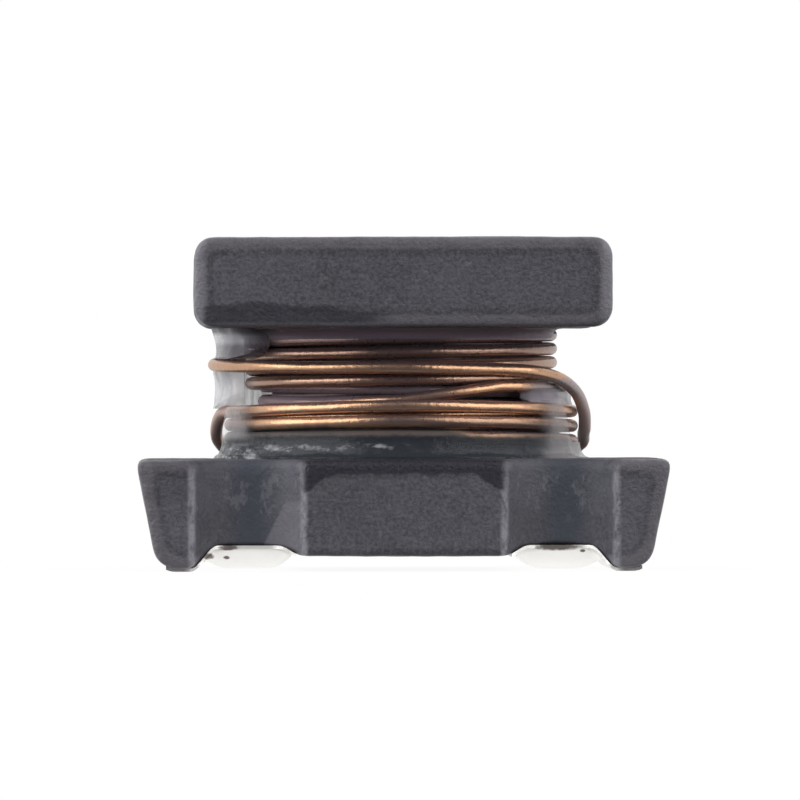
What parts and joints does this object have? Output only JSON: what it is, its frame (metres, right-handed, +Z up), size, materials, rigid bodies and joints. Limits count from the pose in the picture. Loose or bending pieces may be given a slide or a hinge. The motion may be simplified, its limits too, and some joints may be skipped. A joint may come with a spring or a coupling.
{
  "type": "wirewound smd inductor",
  "caption": "Small surface-mount inductor: enamelled copper wire wound on a dark ferrite drum core with a square top flange and a notched base, soldered to tinned terminals underneath.",
  "frame": {"origin": "middle of the underside, on the plane of the two terminals", "axes": "+X along the length, from the left terminal to the right one; +Y towards the rear face, where both wire ends go down; +Z up, along the winding's axis"},
  "size_m": [0.0032, 0.0024, 0.002],
  "materials": {
    "ferrite": "pressed and fired, dark grey, fine speckle, smoother along the rounded edges",
    "enamelled_copper": "bright copper under clear enamel",
    "tin_plating": "matt tin over fired silver",
    "solder": "smooth cooled solder",
    "resin": "clear cured resin, slightly milky"
  },
  "bodies": {
    "root": {"drum_core": "ferrite", "winding": "enamelled_copper", "electrode_left": "tin_plating", "electrode_right": "tin_plating", "solder_left": "solder", "solder_right": "solder", "resin_foot": "resin", "resin_bead": "resin", "resin_web": "resin", "resin_collar": "resin"}
  },
  "joints": []
}
